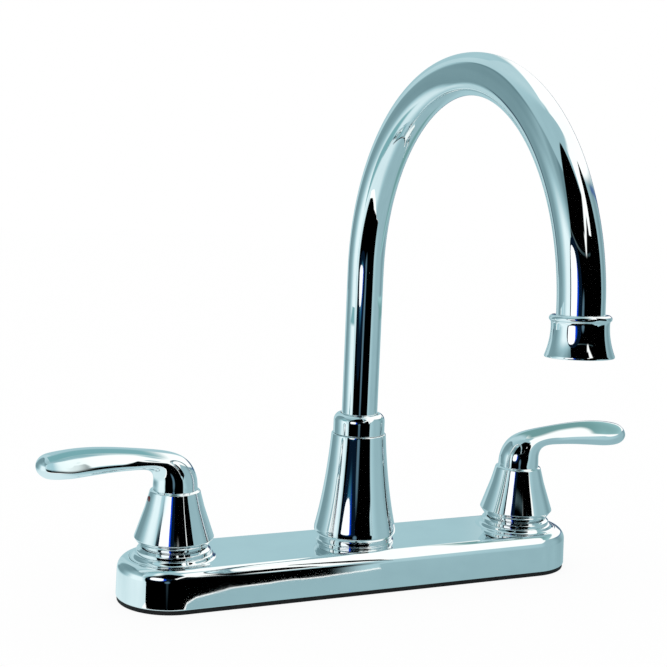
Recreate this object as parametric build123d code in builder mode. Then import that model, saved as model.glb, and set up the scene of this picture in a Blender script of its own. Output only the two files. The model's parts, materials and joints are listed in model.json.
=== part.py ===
from build123d import *
import os
from math import cos, hypot, radians, sin

# A two-handle deck faucet: a long cover plate over a brass waterway, a swivelling gooseneck
# spout on a bell in the middle, and a quarter-turn lever over a ceramic cartridge at each end.
# Millimetres. Z = 0 is the sink's upper face, the front is -Y, and the hot side is -X.

os.makedirs("parts", exist_ok=True)

# Deck cover and gasket
handle_centres = 203.2
deck_length = 261.0
deck_width = 55.4
deck_top = 22.2
deck_edge = 6.0
deck_draft = 1.5
wall = 2.0
gasket_thick = 2.3
gasket_inset = 0.5
boss_radius = 21.0
boss_height = 2.4
boss_draft = 8
boss_fillet = 1.4

# Waterway: two valve bodies and a centre post, joined by copper tubes
shank_radius = 10.4
shank_length = 56.0
shank_bore = 6.0
supply_end = -29.5
relief_depth = 0.7
relief_width = 2.0
waist_radius = 13.0
shoulder_radius = 15.5
shoulder_thick = 2.7
neck_radius = 12.5
neck_gap = 0.2
cap_thread = 11.0
neck_top = 37.0
cartridge_bore = 9.6
chamber_radius = 11.0
chamber_top = 22.0
chamber_floor = 8.0
cross_tube_height = 12.5
cross_tube_radius = 5.0
cross_tube_wall = 0.8
socket_radius = 7.2
socket_reach = 17.0
socket_depth = 5.0

# Cartridge and stem
housing_foot = 9.0
housing_radius = 9.5
disc_chamber = 8.0
disc_radius = 7.8
disc_thick = 3.0
disc_floor = 11.0
stem_radius = 5.0
running_gap = 0.05
spline_radius = 4.0
spline_root = 3.55
spline_teeth = 16
stem_top = 59.5
flange_radius = 10.9
flange_thick = 1.5
quarter_turn = 90.0

# Handle: a skirt turned about the axis and a lever that leaves it outwards
skirt_bottom = 28.5
skirt_gap = 0.3
collar_top = 56.6
lever_reach = 70.4
screw_height = 51.8
screw_radius = 2.0
plug_radius = 2.3

# Spout: bell, clamping nut, gooseneck tube and outlet
bell_foot = 25.5
bell_top = 81.0
post_radius = 11.5
post_top = 76.0
post_bore = 8.25
nut_radius = 13.7
nut_top = 91.8
spout_tube_radius = 9.5
spout_tube_wall = 1.2
tube_foot = 79.5
riser_top = 167.7
bend_radius = 98.1
bend_angle = 177.0
outlet_straight = 3.7
tube_in_tip = 6.0
tip_length = 16.8
aerator_radius = 10.8

side_places = (("hot", -1), ("cold", 1))
half_centres = handle_centres / 2
boss_top = deck_top + boss_height
ring_top = skirt_bottom - skirt_gap


def turned(outline, at=Plane.XY):
    """A part turned about the plane's normal; outline lists (radius, height) corners."""
    with BuildPart() as made:
        with BuildSketch(Plane(origin=at.origin, x_dir=at.x_dir, z_dir=at.y_dir * -1)):
            with BuildLine():
                Polyline(outline, close=True)
            make_face()
        revolve(axis=Axis(at.origin, at.z_dir))
    return made


def ring(inner, outer, low, high):
    """The four corners of a plain ring's section."""
    return [(inner, low), (outer, low), (outer, high), (inner, high)]


def o_rings(cord_radius, centre_radius, heights, at=Plane.XY):
    """Round rubber rings about the plane's normal, one at each height."""
    with BuildPart() as made:
        for height in heights:
            with BuildSketch(Plane(origin=at.origin, x_dir=at.x_dir, z_dir=at.y_dir * -1)):
                with Locations((centre_radius, height)):
                    Circle(cord_radius)
            revolve(axis=Axis(at.origin, at.z_dir))
    return made


def wedge(at, half_angle, reach):
    """A sector of the given reach, centred on the plane's x direction."""
    across = reach * sin(radians(half_angle))
    along = reach * cos(radians(half_angle))
    with BuildSketch(at) as made:
        with BuildLine():
            Line((0, 0), (along, -across))
            ThreePointArc((along, -across), (reach, 0), (along, across))
            Line((along, across), (0, 0))
        make_face()
    return made.sketch


# Deck cover: a drafted shell, open below, with a round boss under each handle
with BuildPart() as deck_cover:
    with BuildSketch(Plane.XY.offset(gasket_thick)):
        SlotOverall(deck_length, deck_width)
    extrude(amount=deck_top - gasket_thick, taper=deck_draft)
    fillet(deck_cover.faces().sort_by(Axis.Z)[-1].edges(), radius=deck_edge)
    with BuildSketch(Plane.XY.offset(deck_top)):
        with Locations((-half_centres, 0), (half_centres, 0)):
            Circle(boss_radius)
    extrude(amount=boss_height, taper=boss_draft)
    fillet(deck_cover.faces().sort_by(Axis.Z)[-2:].edges(), radius=boss_fillet)
    with BuildSketch(Plane.XY.offset(gasket_thick)):
        SlotOverall(deck_length - 2 * wall, deck_width - 2 * wall)
    extrude(amount=deck_top - gasket_thick - wall, taper=3 * deck_draft, mode=Mode.SUBTRACT)
    with BuildSketch(Plane.XY.offset(deck_top - wall)):
        with Locations((-half_centres, 0), (half_centres, 0)):
            Circle(shoulder_radius + neck_gap)
    extrude(amount=wall, mode=Mode.SUBTRACT)
    with BuildSketch(Plane.XY.offset(deck_top - wall)):
        with Locations((-half_centres, 0), (0, 0), (half_centres, 0)):
            Circle(neck_radius + neck_gap)
    extrude(amount=3 * wall, mode=Mode.SUBTRACT)
deck_cover.part.label = "deck_cover"
export_step(deck_cover.part, "parts/deck_cover.step")

# Gasket: a flat rubber sheet under the cover's rim, holed for the two shanks
with BuildPart() as deck_gasket:
    with BuildSketch():
        SlotOverall(deck_length - 2 * gasket_inset, deck_width - 2 * gasket_inset)
        with Locations((-half_centres, 0), (half_centres, 0)):
            Circle(shank_radius + neck_gap, mode=Mode.SUBTRACT)
    extrude(amount=gasket_thick)
deck_gasket.part.label = "deck_gasket"
export_step(deck_gasket.part, "parts/deck_gasket.step")

# Valve bodies: a threaded shank below, a shouldered waist in the cover, a cartridge cup above
port_radius = cross_tube_radius - cross_tube_wall
for side, out in side_places:
    x = out * half_centres
    inward = Plane(origin=(x, 0, cross_tube_height), x_dir=(0, 1, 0), z_dir=(-out, 0, 0))
    with BuildPart() as valve_body:
        with BuildSketch(Plane(origin=(x, 0, 0), x_dir=(1, 0, 0), z_dir=(0, -1, 0))):
            with BuildLine():
                Polyline(
                    (0, -shank_length),
                    (shank_radius, -shank_length),
                    (shank_radius, supply_end),
                    (shank_radius - relief_depth, supply_end),
                    (shank_radius - relief_depth, supply_end + relief_width),
                    (shank_radius, supply_end + relief_width),
                    (shank_radius, gasket_thick),
                    (shoulder_radius, gasket_thick),
                    (shoulder_radius, gasket_thick + shoulder_thick),
                    (waist_radius, gasket_thick + shoulder_thick),
                    (waist_radius, deck_top - 2 * shoulder_thick),
                    (shoulder_radius, deck_top - shoulder_thick),
                    (shoulder_radius, deck_top),
                    (neck_radius, deck_top),
                    (neck_radius, ring_top),
                    (cap_thread, ring_top),
                    (cap_thread, neck_top),
                    (0, neck_top),
                    close=True,
                )
            make_face()
        revolve(axis=Axis((x, 0, 0), (0, 0, 1)))
        with BuildSketch(inward):
            Circle(socket_radius)
        extrude(amount=socket_reach)
        with BuildSketch(Plane(origin=(x, 0, 0), x_dir=(1, 0, 0), z_dir=(0, -1, 0))):
            with BuildLine():
                Polyline(
                    (0, -shank_length),
                    (shank_bore, -shank_length),
                    (shank_bore, chamber_floor),
                    (chamber_radius, chamber_floor),
                    (chamber_radius, chamber_top),
                    (cartridge_bore, chamber_top),
                    (cartridge_bore, neck_top),
                    (0, neck_top),
                    close=True,
                )
            make_face()
        revolve(axis=Axis((x, 0, 0), (0, 0, 1)), mode=Mode.SUBTRACT)
        with BuildSketch(inward):
            Circle(port_radius)
        extrude(amount=socket_reach, mode=Mode.SUBTRACT)
        with BuildSketch(inward.offset(socket_reach)):
            Circle(cross_tube_radius)
        extrude(amount=-socket_depth, mode=Mode.SUBTRACT)
    valve_body.part.label = f"{side}_valve_body"
    export_step(valve_body.part, f"parts/{side}_valve_body.step")

# Centre post: the spout's seat, fed by the cross tube from each side
mixing_radius = 7.0
mixing_floor = 6.0
mixing_top = 34.0
shoulder_top = deck_top - wall
with BuildPart() as spout_post:
    with BuildSketch(Plane.XZ):
        with BuildLine():
            Polyline(
                (0, gasket_thick),
                (shoulder_radius, gasket_thick),
                (shoulder_radius, gasket_thick + shoulder_thick),
                (waist_radius, gasket_thick + shoulder_thick),
                (waist_radius, shoulder_top - 2 * shoulder_thick),
                (shoulder_radius, shoulder_top - shoulder_thick),
                (shoulder_radius, shoulder_top),
                (neck_radius, shoulder_top),
                (neck_radius, bell_foot),
                (post_radius, bell_foot),
                (post_radius, post_top),
                (0, post_top),
                close=True,
            )
        make_face()
    revolve(axis=Axis.Z)
    for out in (-1, 1):
        with BuildSketch(Plane(origin=(0, 0, cross_tube_height), x_dir=(0, 1, 0), z_dir=(out, 0, 0))):
            Circle(socket_radius)
        extrude(amount=socket_reach)
    with BuildSketch(Plane.XZ):
        with BuildLine():
            Polyline(
                (0, mixing_floor),
                (mixing_radius, mixing_floor),
                (mixing_radius, mixing_top),
                (post_bore, mixing_top),
                (post_bore, post_top),
                (0, post_top),
                close=True,
            )
        make_face()
    revolve(axis=Axis.Z, mode=Mode.SUBTRACT)
    for out in (-1, 1):
        outward = Plane(origin=(0, 0, cross_tube_height), x_dir=(0, 1, 0), z_dir=(out, 0, 0))
        with BuildSketch(outward):
            Circle(port_radius)
        extrude(amount=socket_reach, mode=Mode.SUBTRACT)
        with BuildSketch(outward.offset(socket_reach)):
            Circle(cross_tube_radius)
        extrude(amount=-socket_depth, mode=Mode.SUBTRACT)
spout_post.part.label = "spout_post"
export_step(spout_post.part, "parts/spout_post.step")

# Cross tubes: copper pipe brazed between each valve body and the centre post
tube_end = socket_reach - socket_depth
for side, out in side_places:
    with BuildPart() as cross_tube:
        with BuildSketch(
            Plane(origin=(out * tube_end, 0, cross_tube_height), x_dir=(0, 1, 0), z_dir=(out, 0, 0))
        ):
            Circle(cross_tube_radius)
            Circle(port_radius, mode=Mode.SUBTRACT)
        extrude(amount=half_centres - 2 * tube_end)
    cross_tube.part.label = f"{side}_cross_tube"
    export_step(cross_tube.part, f"parts/{side}_cross_tube.step")

# Mounting washers and wing nuts: they draw the shanks down against the sink's underside
clamp_gap = 6.5
washer_thick = 1.5
washer_radius = 20.0
nut_flange_radius = 21.0
nut_flange_thick = 3.0
nut_hub_radius = 15.0
nut_length = 16.0
wing_count = 4
wing_length = 8.0
wing_thick = 3.2
shank_places = ((-half_centres, 0), (half_centres, 0))
with BuildPart() as mounting_washers:
    with BuildSketch(Plane.XY.offset(-clamp_gap)):
        with Locations(*shank_places):
            Circle(washer_radius)
        with Locations(*shank_places):
            Circle(shank_radius + neck_gap, mode=Mode.SUBTRACT)
    extrude(amount=-washer_thick)
mounting_washers.part.label = "mounting_washers"
export_step(mounting_washers.part, "parts/mounting_washers.step")

nut_face = Plane.XY.offset(-clamp_gap - washer_thick)
with BuildPart() as mounting_nuts:
    with BuildSketch(nut_face):
        with Locations(*shank_places):
            Circle(nut_flange_radius)
    extrude(amount=-nut_flange_thick)
    with BuildSketch(nut_face):
        with Locations(*shank_places):
            Circle(nut_hub_radius)
            with PolarLocations(nut_hub_radius + 1, wing_count):
                Rectangle(wing_length, wing_thick)
    extrude(amount=-nut_length)
    with BuildSketch(nut_face):
        with Locations(*shank_places):
            Circle(shank_radius)
    extrude(amount=-nut_length, mode=Mode.SUBTRACT)
mounting_nuts.part.label = "mounting_nuts"
export_step(mounting_nuts.part, "parts/mounting_nuts.step")

# Base rings: they screw onto the brass necks above the cover and hold it down
foot_radius = 18.9
foot_thick = 0.5
band_radius = 17.3
band_low = 2.0
ring_bevel = 0.4
spout_foot_radius = 21.2
spout_foot_thick = 0.7
spout_band_radius = 20.3
spout_band_low = 1.3
for side, out in side_places:
    base_ring = turned(
        [
            (neck_radius, boss_top),
            (foot_radius, boss_top),
            (foot_radius, boss_top + foot_thick),
            (band_radius + ring_bevel, boss_top + band_low / 2),
            (band_radius, boss_top + band_low),
            (band_radius, ring_top - ring_bevel),
            (band_radius - ring_bevel, ring_top),
            (neck_radius, ring_top),
        ],
        Plane((out * half_centres, 0, 0)),
    )
    base_ring.part.label = f"{side}_base_ring"
    export_step(base_ring.part, f"parts/{side}_base_ring.step")

spout_base_ring = turned(
    [
        (neck_radius, deck_top),
        (spout_foot_radius, deck_top),
        (spout_foot_radius, deck_top + spout_foot_thick),
        (spout_band_radius, deck_top + spout_band_low),
        (spout_band_radius, bell_foot),
        (neck_radius, bell_foot),
    ]
)
spout_base_ring.part.label = "spout_base_ring"
export_step(spout_base_ring.part, "parts/spout_base_ring.step")

# Cartridges: rubber seal, two ceramic discs, brass housing, O-rings, stem, clip and cap nut
seal_bore = 5.6
disc_top = disc_floor + 2 * disc_thick
disc_port_offset = 3.9
disc_port_length = 5.6
disc_port_width = 3.2
drive_slot_width = 2.2
drive_slot_depth = 1.4
window_centre = 20.0
window_height = 5.5
window_width = 8.0
window_corner = 1.0
stem_bore_foot = 24.0
housing_groove = (27.0, 29.4)
housing_groove_depth = 1.3
housing_seal_cord = 0.68
housing_seal_radius = 8.9
housing_top = neck_top + flange_thick
stop_height = 1.7
stop_tab_half = 20.0
stop_slack = 1.0
tab_reach = 7.6
tab_direction = 90.0
stem_foot_radius = 6.2
stem_foot_thick = 2.0
stem_grooves = (29.5, 33.5)
stem_groove_width = 1.1
stem_groove_depth = 1.0
stem_seal_cord = 0.5
stem_seal_radius = 4.52
neck_down = (42.5, 44.5)
spline_foot = 46.0
spline_width = 0.7
tang_length = 12.0
clip_low = housing_top + stop_height + 0.2
clip_thick = 0.8
clip_groove_radius = 4.2
clip_radius = 7.2
clip_mouth = 5.0
clip_mouth_reach = 8.0
cap_low = 30.5
cap_high = 40.3
cap_bevel = 1.1
cap_clearance = 0.3
hex_apothem = 12.0
for side, out in side_places:
    x = out * half_centres
    seat = Plane((x, 0, 0))

    seat_seal = turned(ring(seal_bore, disc_radius, chamber_floor, disc_floor), seat)
    seat_seal.part.label = f"{side}_seat_seal"
    export_step(seat_seal.part, f"parts/{side}_seat_seal.step")

    with BuildPart() as fixed_disc:
        with BuildSketch(seat.offset(disc_floor)):
            Circle(disc_radius)
            with PolarLocations(disc_port_offset, 2):
                SlotOverall(disc_port_length, disc_port_width, rotation=90, mode=Mode.SUBTRACT)
        extrude(amount=disc_thick)
    fixed_disc.part.label = f"{side}_fixed_disc"
    export_step(fixed_disc.part, f"parts/{side}_fixed_disc.step")

    # Shut at rest: the moving disc's openings stand a quarter turn away from the fixed disc's
    with BuildPart() as moving_disc:
        with BuildSketch(seat.offset(disc_floor + disc_thick)):
            Circle(disc_radius)
            with PolarLocations(disc_port_offset, 2, start_angle=quarter_turn):
                SlotOverall(disc_port_length, disc_port_width, rotation=90, mode=Mode.SUBTRACT)
        extrude(amount=disc_thick)
        with BuildSketch(seat.offset(disc_top)):
            Rectangle(2 * disc_radius + 1, drive_slot_width)
        extrude(amount=-drive_slot_depth, mode=Mode.SUBTRACT)
    moving_disc.part.label = f"{side}_moving_disc"
    export_step(moving_disc.part, f"parts/{side}_moving_disc.step")

    # The housing's top rim is cut away where the stem's tab swings, which stops the quarter turn
    gap_direction = radians(tab_direction - out * quarter_turn / 2)
    stop_gap = Plane(
        origin=(x, 0, housing_top),
        x_dir=(cos(gap_direction), sin(gap_direction), 0),
        z_dir=(0, 0, 1),
    )
    with BuildPart() as cartridge_housing:
        with BuildSketch(Plane(origin=(x, 0, 0), x_dir=(1, 0, 0), z_dir=(0, -1, 0))):
            with BuildLine():
                Polyline(
                    (disc_chamber, housing_foot),
                    (housing_radius, housing_foot),
                    (housing_radius, housing_groove[0]),
                    (housing_radius - housing_groove_depth, housing_groove[0]),
                    (housing_radius - housing_groove_depth, housing_groove[1]),
                    (housing_radius, housing_groove[1]),
                    (housing_radius, neck_top),
                    (flange_radius, neck_top),
                    (flange_radius, housing_top),
                    (disc_chamber, housing_top),
                    (disc_chamber, housing_top + stop_height),
                    (stem_radius + running_gap, housing_top + stop_height),
                    (stem_radius + running_gap, stem_bore_foot),
                    (disc_chamber, stem_bore_foot),
                    close=True,
                )
            make_face()
        revolve(axis=Axis((x, 0, 0), (0, 0, 1)))
        with BuildSketch(Plane(origin=(x, 0, window_centre), x_dir=(1, 0, 0), z_dir=(0, -1, 0))):
            RectangleRounded(window_width, window_height, window_corner)
        extrude(amount=housing_radius + 1, both=True, mode=Mode.SUBTRACT)
        extrude(
            wedge(stop_gap, quarter_turn / 2 + stop_tab_half + stop_slack, flange_radius),
            amount=stop_height,
            mode=Mode.SUBTRACT,
        )
    cartridge_housing.part.label = f"{side}_cartridge_housing"
    export_step(cartridge_housing.part, f"parts/{side}_cartridge_housing.step")

    groove_middle = sum(housing_groove) / 2
    housing_seal = o_rings(housing_seal_cord, housing_seal_radius, (groove_middle,), seat)
    housing_seal.part.label = f"{side}_housing_seal"
    export_step(housing_seal.part, f"parts/{side}_housing_seal.step")

    # Stem: a tang drives the disc, and the splined top carries the handle
    stem_side = [(stem_foot_radius, disc_top), (stem_foot_radius, disc_top + stem_foot_thick)]
    stem_side += [(stem_radius, disc_top + stem_foot_thick)]
    for low in stem_grooves:
        high = low + stem_groove_width
        root = stem_radius - stem_groove_depth
        stem_side += [(stem_radius, low), (root, low), (root, high), (stem_radius, high)]
    with BuildPart() as stem:
        with BuildSketch(Plane(origin=(x, 0, 0), x_dir=(1, 0, 0), z_dir=(0, -1, 0))):
            with BuildLine():
                Polyline(
                    (0, disc_top),
                    *stem_side,
                    (stem_radius, clip_low),
                    (clip_groove_radius, clip_low),
                    (clip_groove_radius, clip_low + clip_thick),
                    (stem_radius, clip_low + clip_thick),
                    (stem_radius, neck_down[0]),
                    (spline_root, neck_down[1]),
                    (spline_root, stem_top),
                    (0, stem_top),
                    close=True,
                )
            make_face()
        revolve(axis=Axis((x, 0, 0), (0, 0, 1)))
        with BuildSketch(seat.offset(disc_top)):
            Rectangle(tang_length, drive_slot_width - 2 * running_gap)
        extrude(amount=-(drive_slot_depth - running_gap))
        tab_angle = radians(tab_direction)
        tab_plane = Plane(
            origin=(x, 0, housing_top + running_gap),
            x_dir=(cos(tab_angle), sin(tab_angle), 0),
            z_dir=(0, 0, 1),
        )
        extrude(wedge(tab_plane, stop_tab_half, tab_reach), amount=stop_height - 2 * running_gap)
        with BuildSketch(seat.offset(spline_foot)):
            with PolarLocations(spline_root, spline_teeth):
                Rectangle(2 * (spline_radius - spline_root), spline_width)
        extrude(amount=stem_top - spline_foot)
    stem.part.label = f"{side}_stem"
    export_step(stem.part, f"parts/{side}_stem.step")

    ring_heights = [low + stem_groove_width / 2 for low in stem_grooves]
    stem_seals = o_rings(stem_seal_cord, stem_seal_radius, ring_heights, seat)
    stem_seals.part.label = f"{side}_stem_seals"
    export_step(stem_seals.part, f"parts/{side}_stem_seals.step")

    with BuildPart() as stem_clip:
        with BuildSketch(seat.offset(clip_low)):
            Circle(clip_radius)
            Circle(clip_groove_radius, mode=Mode.SUBTRACT)
            with Locations((0, clip_mouth_reach / 2 + 1)):
                Rectangle(clip_mouth, clip_mouth_reach, mode=Mode.SUBTRACT)
        extrude(amount=clip_thick)
    stem_clip.part.label = f"{side}_stem_clip"
    export_step(stem_clip.part, f"parts/{side}_stem_clip.step")

    # Cap nut: hexagonal, it screws down over the cartridge's flange
    with BuildPart() as cap_nut:
        with BuildSketch(seat.offset(cap_low)):
            RegularPolygon(hex_apothem, 6, major_radius=False)
        extrude(amount=cap_high - cap_low)
        with BuildSketch(Plane(origin=(x, 0, 0), x_dir=(1, 0, 0), z_dir=(0, -1, 0))):
            with BuildLine():
                Polyline(
                    (0, cap_low),
                    (hex_apothem + 2, cap_low),
                    (hex_apothem + 2, cap_high - cap_bevel),
                    (hex_apothem, cap_high),
                    (0, cap_high),
                    close=True,
                )
            make_face()
        revolve(axis=Axis((x, 0, 0), (0, 0, 1)), mode=Mode.INTERSECT)
        with BuildSketch(seat.offset(cap_low)):
            Circle(cap_thread)
        extrude(amount=housing_top - cap_low, mode=Mode.SUBTRACT)
        with BuildSketch(seat.offset(housing_top)):
            Circle(disc_chamber + cap_clearance)
        extrude(amount=cap_high - housing_top, mode=Mode.SUBTRACT)
    cap_nut.part.label = f"{side}_cap_nut"
    export_step(cap_nut.part, f"parts/{side}_cap_nut.step")

# Lever stations: the upper or back point, the under point, and half the width there.
# Each pair is (outward distance from the handle's axis, height).
lever_stations = (
    ((-11.3, collar_top), (11.3, collar_top), 11.3),
    ((-11.3, 60.0), (11.3, 60.0), 11.3),
    ((-10.7, 63.8), (11.1, 62.0), 11.1),
    ((-9.2, 67.7), (11.2, 63.8), 10.7),
    ((-6.6, 71.4), (11.9, 65.6), 10.1),
    ((-2.6, 74.4), (13.4, 67.2), 9.4),
    ((3.6, 76.6), (16.0, 68.2), 8.7),
    ((12.0, 78.0), (19.5, 68.6), 8.1),
    ((22.0, 79.2), (25.0, 68.7), 7.8),
    ((34.0, 80.4), (35.0, 68.2), 8.4),
    ((46.0, 80.9), (46.0, 67.2), 9.4),
    ((56.0, 80.3), (56.0, 66.3), 10.0),
)
tip_start = 63.0
tip_centre = 72.6
tip_half_height = 6.2
tip_half_width = 9.5
tip_angles = (0, 32, 54, 70, 82)
lever_spans = ((0, 1, True), (1, 4, False), (4, 7, False), (7, 12, False), (12, 16, True))


def lever_section(back, under, half_width, x, out):
    """An oval across the lever, through its back and under points, on the plane they share."""
    run = under[0] - back[0]
    drop = back[1] - under[1]
    length = hypot(run, drop)
    across = Plane(
        origin=(x + out * (back[0] + under[0]) / 2, 0, (back[1] + under[1]) / 2),
        x_dir=(0, out, 0),
        z_dir=(out * drop / length, 0, run / length),
    )
    with BuildSketch(across) as made:
        Ellipse(half_width, length / 2)
    return made.sketch


def lever_outline():
    """Every station from the neck to the rounded tip, whose sizes follow an ellipse."""
    stations = list(lever_stations)
    for angle in tip_angles:
        u = tip_start + (lever_reach - tip_start) * sin(radians(angle))
        half_height = tip_half_height * cos(radians(angle))
        half_width = tip_half_width * cos(radians(angle))
        stations.append(((u, tip_centre + half_height), (u, tip_centre - half_height), half_width))
    return stations


# Handles: one casting each, hollow over the cartridge, with the stem's socket and screw hole
skirt_foot = ((17.5, skirt_bottom), (19.9, 31.8))
skirt_lip = (20.0, 33.0)
lip_round = 0.9
skirt_curve = ((14.9, 48.0), (12.8, 55.3))
collar = ((12.4, 56.2), (11.9, collar_top))
cavity_top = 47.0
cavity_side = ((15.9, skirt_bottom), (18.0, 32.0), (17.9, 33.4), (12.9, cavity_top))
hex_key = 1.0
hex_depth = 2.5
plug_fillet = 0.6
screw_end = 10.0
plug_seat = 10.2
plug_end = 13.9
for side, out in side_places:
    x = out * half_centres
    seat = Plane((x, 0, 0))
    bore_plane = Plane(origin=(x, 0, screw_height), x_dir=(0, 1, 0), z_dir=(out, 0, 0))
    with BuildPart() as handle:
        with BuildSketch(Plane(origin=(x, 0, 0), x_dir=(1, 0, 0), z_dir=(0, -1, 0))):
            with BuildLine():
                Polyline((0, collar_top), (0, skirt_bottom), *skirt_foot)
                RadiusArc(skirt_foot[-1], skirt_lip, lip_round)
                Spline(skirt_lip, *skirt_curve)
                Polyline(skirt_curve[-1], *collar, (0, collar_top))
            make_face()
        revolve(axis=Axis((x, 0, 0), (0, 0, 1)))
        ovals = [lever_section(*station, x, out) for station in lever_outline()]
        for first, last, straight in lever_spans:
            loft(ovals[first : last + 1], ruled=straight)
        with BuildSketch(Plane(origin=(x, 0, 0), x_dir=(1, 0, 0), z_dir=(0, -1, 0))):
            with BuildLine():
                Polyline((0, skirt_bottom), *cavity_side, (0, cavity_top), close=True)
            make_face()
        revolve(axis=Axis((x, 0, 0), (0, 0, 1)), mode=Mode.SUBTRACT)
        with BuildSketch(seat.offset(cavity_top)):
            Circle(spline_radius + running_gap)
        extrude(amount=stem_top - cavity_top, mode=Mode.SUBTRACT)
        with BuildSketch(bore_plane):
            Circle(screw_radius)
        extrude(amount=plug_seat, mode=Mode.SUBTRACT)
        with BuildSketch(bore_plane.offset(plug_seat)):
            Circle(plug_radius)
        extrude(amount=plug_seat, mode=Mode.SUBTRACT)
    handle.part.label = f"{side}_handle"
    export_step(handle.part, f"parts/{side}_handle.step")

    with BuildPart() as set_screw:
        with BuildSketch(bore_plane.offset(spline_radius)):
            Circle(screw_radius)
        extrude(amount=screw_end - spline_radius)
        with BuildSketch(bore_plane.offset(screw_end)):
            RegularPolygon(hex_key, 6, major_radius=False)
        extrude(amount=-hex_depth, mode=Mode.SUBTRACT)
    set_screw.part.label = f"{side}_set_screw"
    export_step(set_screw.part, f"parts/{side}_set_screw.step")

    with BuildPart() as index_plug:
        with BuildSketch(bore_plane.offset(plug_seat)):
            Circle(plug_radius)
        extrude(amount=plug_end - plug_seat)
        fillet(index_plug.faces().sort_by(Axis((x, 0, 0), (out, 0, 0)))[-1].edges(), radius=plug_fillet)
    index_plug.part.label = f"{side}_index_plug"
    export_step(index_plug.part, f"parts/{side}_index_plug.step")

# Bell: a hollow turned shell between the base ring and the nut
bell_rim = ((18.6, bell_foot), (20.5, bell_foot), (21.7, 27.4))
bell_round = 1.3
bell_outside = ((21.9, 29.4), (18.35, 47.5), (16.4, 61.4), (14.55, 80.2))
bell_mouth = ((14.0, bell_top), (12.8, bell_top))
bell_inside = ((12.8, 78.0), (14.5, 61.4), (16.5, 47.5), (20.0, 29.4))
with BuildPart() as spout_bell:
    with BuildSketch(Plane.XZ):
        with BuildLine():
            Polyline(bell_rim)
            RadiusArc(bell_rim[-1], bell_outside[0], bell_round)
            Spline(bell_outside)
            Polyline(bell_outside[-1], *bell_mouth, bell_inside[0])
            Spline(bell_inside)
            Line(bell_inside[-1], bell_rim[0])
        make_face()
    revolve(axis=Axis.Z)
spout_bell.part.label = "spout_bell"
export_step(spout_bell.part, "parts/spout_bell.step")

# Nut: it screws onto the post's top, presses the bell down and traps the spout's flange
lip_radius = 10.1
lip_round = 0.4
lip_thick = 0.9
bushing_radius = 10.7
nut_shoulder = 80.9
nut_skirt_low = 70.0
nut_skirt_radius = 12.7
nut_round = 0.5
nut_straight = 87.6
thread_gap = 0.2
with BuildPart() as spout_nut:
    with BuildSketch(Plane.XZ):
        with BuildLine():
            Polyline(
                (post_radius, nut_skirt_low),
                (nut_skirt_radius, nut_skirt_low),
                (nut_skirt_radius, bell_top),
                (nut_radius - nut_round, bell_top),
                (nut_radius, bell_top + nut_round),
                (nut_radius, nut_straight),
            )
            EllipticalCenterArc(
                (lip_radius + lip_round, nut_straight),
                nut_radius - lip_radius - lip_round,
                nut_top - nut_straight,
                arc_size=90,
            )
            Polyline(
                (lip_radius + lip_round, nut_top),
                (lip_radius, nut_top - lip_round),
                (lip_radius, nut_top - lip_thick),
                (bushing_radius, nut_top - lip_thick),
                (bushing_radius, nut_shoulder),
                (post_radius + thread_gap, nut_shoulder),
                (post_radius + thread_gap, post_top),
                (post_radius, post_top),
                (post_radius, nut_skirt_low),
            )
        make_face()
    revolve(axis=Axis.Z)
spout_nut.part.label = "spout_nut"
export_step(spout_nut.part, "parts/spout_nut.step")

bushing_low = 81.5
spout_bushing = turned(
    ring(spout_tube_radius + running_gap, bushing_radius, bushing_low, nut_top - lip_thick)
)
spout_bushing.part.label = "spout_bushing"
export_step(spout_bushing.part, "parts/spout_bushing.step")

washer_bore = 8.5
collar_radius = 11.3
collar_thick = 1.0
thrust_washer = turned(ring(washer_bore, collar_radius, post_top, post_top + collar_thick))
thrust_washer.part.label = "thrust_washer"
export_step(thrust_washer.part, "parts/thrust_washer.step")

# Spout foot: a turned spigot that turns in the post's bore on two O-rings
spigot_radius = post_bore - running_gap
spigot_bore = 6.2
spigot_bevel = 0.65
spigot_low = 40.0
spigot_high = 91.0
groove_radius = 7.2
groove_width = 1.1
spigot_grooves = (46.0, 54.0)
spigot_flange_radius = 10.8
inner_radius = spout_tube_radius - spout_tube_wall
spigot_side = [(spigot_radius - spigot_bevel, spigot_low), (spigot_radius, spigot_low + 1)]
for low in spigot_grooves:
    high = low + groove_width
    spigot_side += [(spigot_radius, low), (groove_radius, low)]
    spigot_side += [(groove_radius, high), (spigot_radius, high)]
spout_foot = turned(
    [
        (spigot_bore, spigot_low),
        *spigot_side,
        (spigot_radius, post_top + collar_thick),
        (spigot_flange_radius, post_top + collar_thick),
        (spigot_flange_radius, tube_foot),
        (inner_radius, tube_foot),
        (inner_radius, spigot_high),
        (spigot_bore, spigot_high),
    ]
)
spout_foot.part.label = "spout_foot"
export_step(spout_foot.part, "parts/spout_foot.step")

spout_seal_radius = 7.72
seal_heights = [low + groove_width / 2 for low in spigot_grooves]
spout_seals = o_rings(stem_seal_cord, spout_seal_radius, seal_heights)
spout_seals.part.label = "spout_seals"
export_step(spout_seals.part, "parts/spout_seals.step")

retaining_ring = turned(
    ring(spout_tube_radius, collar_radius, tube_foot, tube_foot + collar_thick)
)
retaining_ring.part.label = "retaining_ring"
export_step(retaining_ring.part, "parts/retaining_ring.step")

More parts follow.
